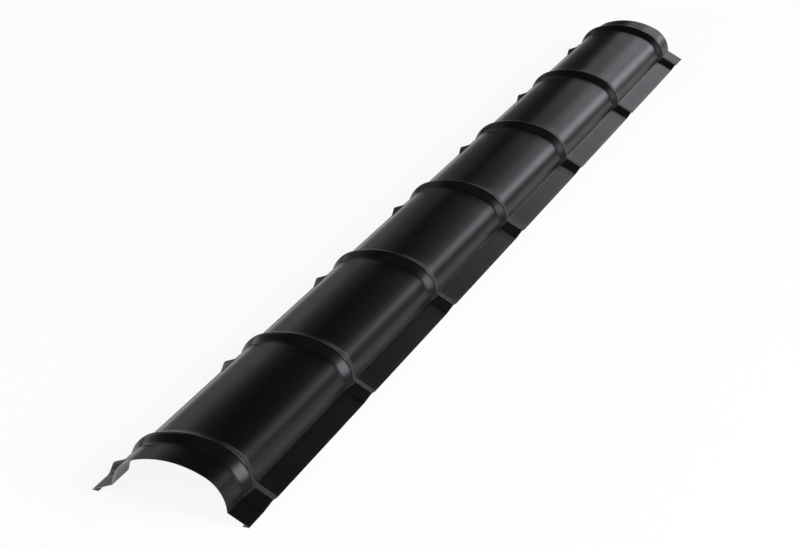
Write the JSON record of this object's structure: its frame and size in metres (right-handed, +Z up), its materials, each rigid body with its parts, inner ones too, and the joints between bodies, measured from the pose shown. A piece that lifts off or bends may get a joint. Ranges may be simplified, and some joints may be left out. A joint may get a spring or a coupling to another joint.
{
  "type": "roof ridge cap",
  "caption": "Arched sheet-steel ridge cap with raised cross beads, sloped side flanges and folded-back hems; covers the line where two roof slopes meet.",
  "frame": {"origin": "middle of the base plane that the two hems stand on, half way along the cap", "axes": "+Y along the ridge, +Z up towards the crown, +X across to one flange"},
  "size_m": [0.233, 2, 0.0761],
  "materials": {
    "coated_steel": "satin black coil coating on the outer face, grey back coat on the inner face"
  },
  "bodies": {
    "root": {"ridge_cap": "coated_steel"}
  },
  "joints": []
}
